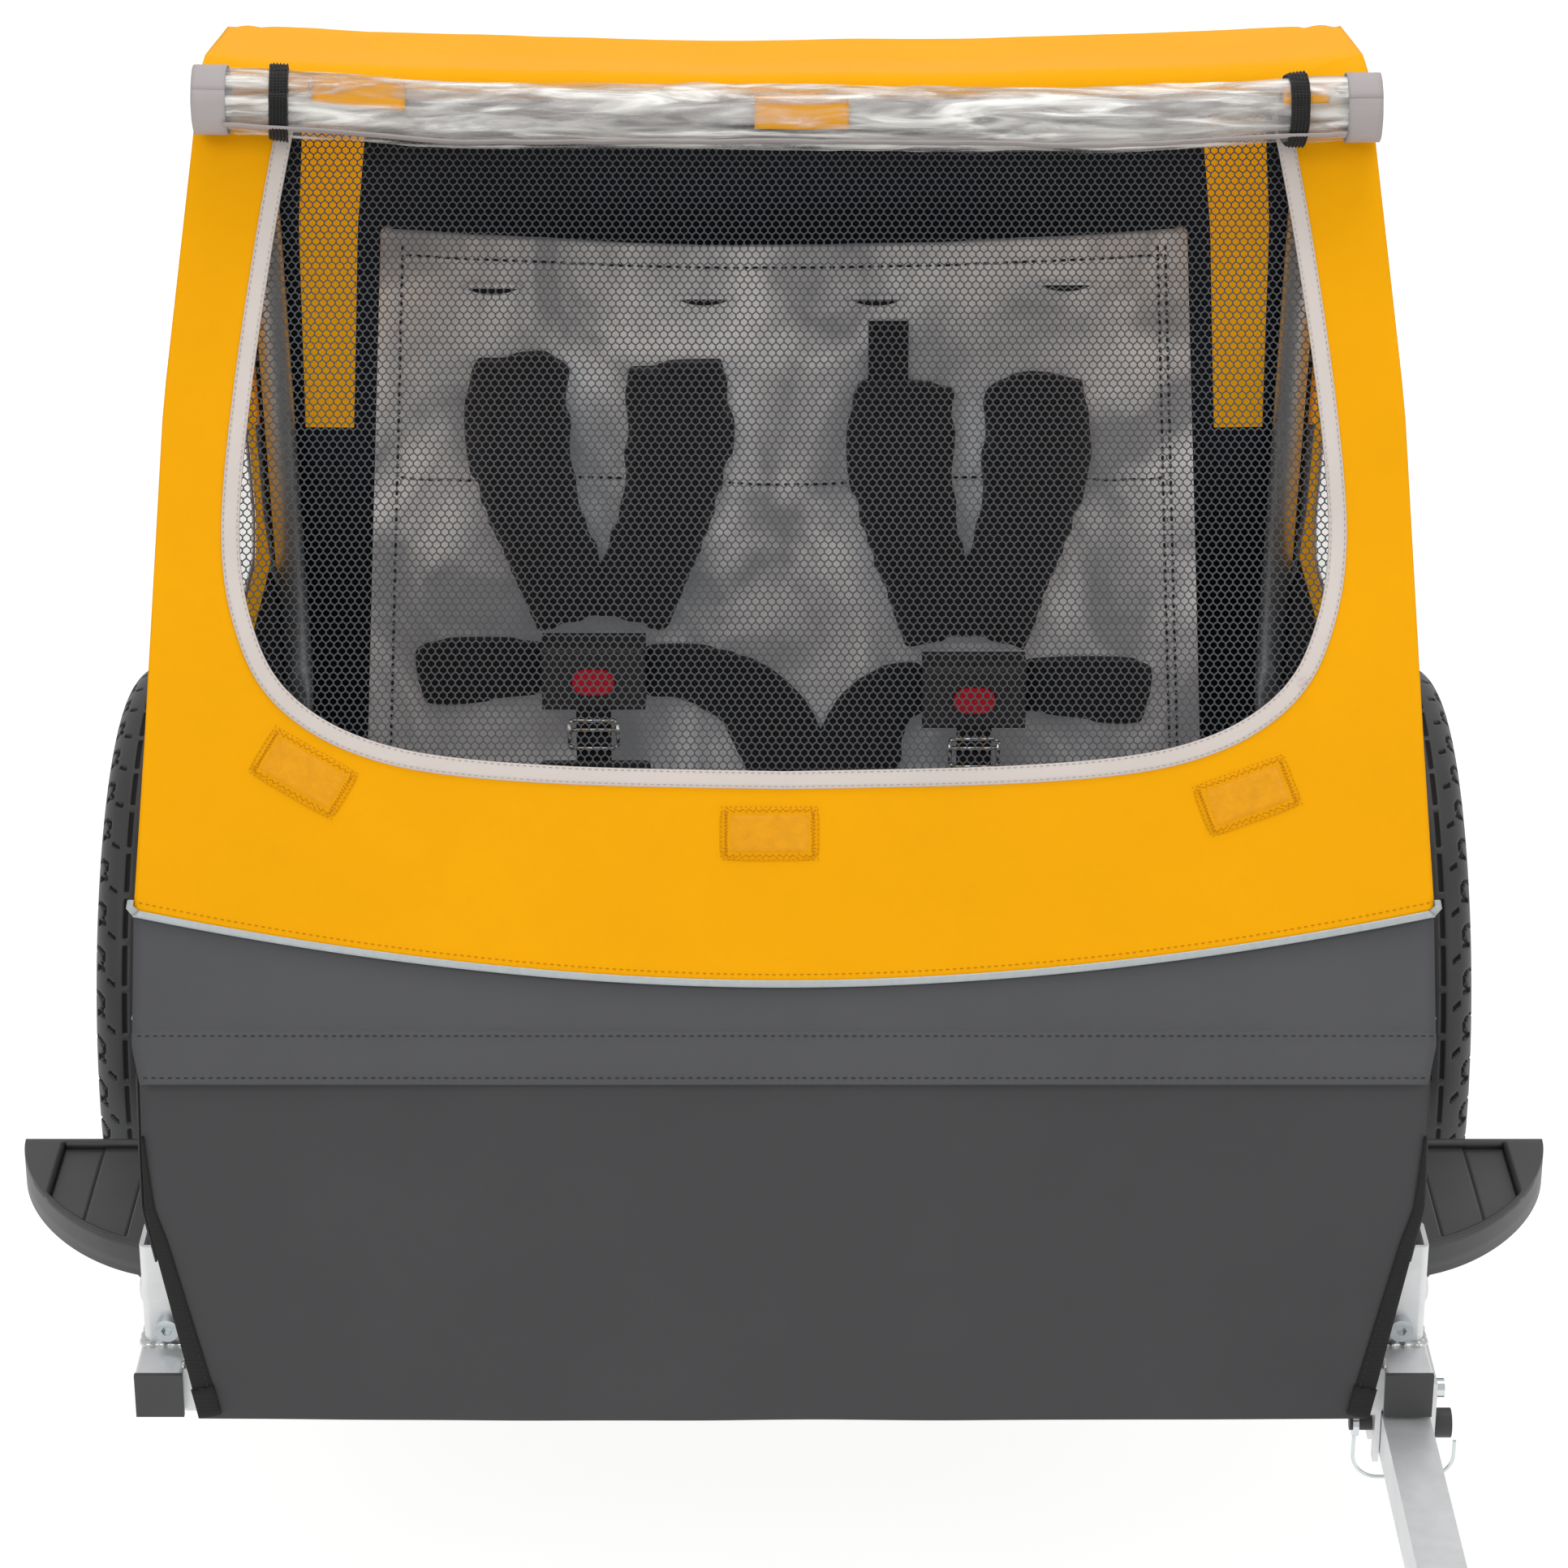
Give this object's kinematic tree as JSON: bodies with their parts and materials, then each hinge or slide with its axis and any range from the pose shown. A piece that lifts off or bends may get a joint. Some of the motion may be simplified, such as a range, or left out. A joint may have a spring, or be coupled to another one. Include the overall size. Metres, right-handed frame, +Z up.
{
  "type": "child bicycle trailer",
  "caption": "Two-seat child bicycle trailer with a coated fabric cabin, mesh front window, folding side hoops, spoked wheels and a fold-under tow arm",
  "frame": {"origin": "on the ground, at the middle of the overall length and width, tow arm included", "axes": "+Z up, the trailer faces -Y with its tow arm forward, +X is the side of the tow arm, the trailer's own left"},
  "size_m": [0.878, 1.319, 0.8447],
  "materials": {
    "alu": "satin",
    "black_cloth": "padded knit and webbing",
    "black_plastic": "matt moulded",
    "clear_vinyl": "clear flexible vinyl",
    "dark_grey_cloth": "coated woven polyester",
    "elastic": "ribbed elastic",
    "grey_cloth": "coated woven polyester",
    "mesh_cloth": "hexagonal knit mesh",
    "navy_cloth": "woven polyester",
    "nylon": "natural nylon",
    "red_plastic": "gloss",
    "rubber_tyre": "moulded tread",
    "seat_cloth": "padded woven polyester",
    "steel_silver": "silver powder coat",
    "yellow_cloth": "coated woven polyester",
    "zinc": "bright zinc plate"
  },
  "bodies": {
    "chassis": {"arm_bolts": "zinc", "arm_bracket": "steel_silver", "axle_crossbar": "steel_silver", "axle_left": "zinc", "axle_receivers": "alu", "axle_right": "zinc", "crotch_pads": "black_cloth", "floor_panel": "navy_cloth", "front_bracket_left": "steel_silver", "front_bracket_right": "steel_silver", "front_cover": "yellow_cloth", "front_crossbar": "steel_silver", "front_hem": "grey_cloth", "front_panel": "dark_grey_cloth", "guard_bolts": "zinc", "harness_buckles": "black_plastic", "harness_straps": "black_cloth", "hook_patches": "yellow_cloth", "mesh_window": "mesh_cloth", "pivot_bolts": "zinc", "pivot_washers": "nylon", "rail_end_caps": "black_plastic", "rain_cover_roll": "clear_vinyl", "rear_bracket_left": "steel_silver", "rear_bracket_right": "steel_silver", "rear_cover": "navy_cloth", "rear_crossbar": "steel_silver", "rear_panel": "dark_grey_cloth", "roll_loops": "elastic", "roof_cover": "yellow_cloth", "seat_back": "seat_cloth", "seat_base": "seat_cloth", "shoulder_pads": "black_cloth", "side_cover_left": "yellow_cloth", "side_cover_right": "yellow_cloth", "side_rail_left": "steel_silver", "side_rail_right": "steel_silver", "side_window_left": "clear_vinyl", "side_window_right": "clear_vinyl", "strap_adjusters": "black_plastic", "waist_pads": "black_cloth", "wheel_guard_left": "black_plastic", "wheel_guard_right": "black_plastic"},
    "hoop_left": {"side_hoop_left": "steel_silver"},
    "hoop_right": {"side_hoop_right": "steel_silver"},
    "wheel_left": {"tyre_left": "rubber_tyre", "rim_left": "alu", "spokes_left": "zinc", "hub_left": "alu"},
    "wheel_right": {"tyre_right": "rubber_tyre", "rim_right": "alu", "spokes_right": "zinc", "hub_right": "alu"},
    "arm": {"tow_arm": "steel_silver", "lock_pin": "zinc", "hitch_bolt": "zinc"},
    "bail": {"pin_bail": "zinc"},
    "tongue": {"hitch_tongue": "black_plastic"},
    "button_left": {"buckle_button_left": "red_plastic"},
    "button_right": {"buckle_button_right": "red_plastic"}
  },
  "joints": [
    {"name": "frame_fold", "type": "hinge", "parent": "chassis", "child": "hoop_left", "pos_m": [0.329, 0.2825, 0.222], "axis": [0, -1, 0], "range_deg": [0, 87], "deforming": ["front_cover", "front_hem", "front_panel", "mesh_window", "rain_cover_roll", "roll_loops", "hook_patches", "roof_cover", "rear_cover", "rear_panel", "side_cover_left", "side_cover_right", "side_window_left", "side_window_right", "seat_back", "seat_base", "shoulder_pads", "waist_pads", "crotch_pads", "strap_adjusters", "harness_straps"]},
    {"name": "right_hoop_fold", "type": "hinge", "parent": "chassis", "child": "hoop_right", "pos_m": [-0.329, 0.2825, 0.222], "axis": [0, 1, 0], "range_deg": [0, 72]},
    {"name": "wheel_left_spin", "type": "hinge", "parent": "chassis", "child": "wheel_left", "pos_m": [0.388, 0.3945, 0.197], "axis": [1, 0, 0], "continuous": true},
    {"name": "wheel_right_spin", "type": "hinge", "parent": "chassis", "child": "wheel_right", "pos_m": [-0.388, 0.3945, 0.197], "axis": [1, 0, 0], "continuous": true},
    {"name": "arm_fold", "type": "hinge", "parent": "chassis", "child": "arm", "pos_m": [0.331, -0.0205, 0.1697], "axis": [1, 0, 0], "range_deg": [0, 180]},
    {"name": "bail_swing", "type": "hinge", "parent": "arm", "child": "bail", "pos_m": [0.331, -0.0895, 0.1697], "axis": [1, 0, 0], "range_deg": [-66, 0]},
    {"name": "hitch_yaw", "type": "hinge", "parent": "arm", "child": "tongue", "pos_m": [0.181, -0.6045, 0.1697], "axis": [0, 0, 1], "range_deg": [-60, 60]},
    {"name": "button_left_press", "type": "slide", "parent": "chassis", "child": "button_left", "axis": [0, 1, 0], "range_m": [0, 0.003], "stiffness_N_per_m": 400},
    {"name": "button_right_press", "type": "slide", "parent": "chassis", "child": "button_right", "axis": [0, 1, 0], "range_m": [0, 0.003], "stiffness_N_per_m": 400}
  ],
  "couplings": [
    {"joint": "right_hoop_fold", "follows": "frame_fold", "ratio": 0.82},
    {"joint": "bail_swing", "follows": "arm_fold", "ratio": -0.365}
  ]
}
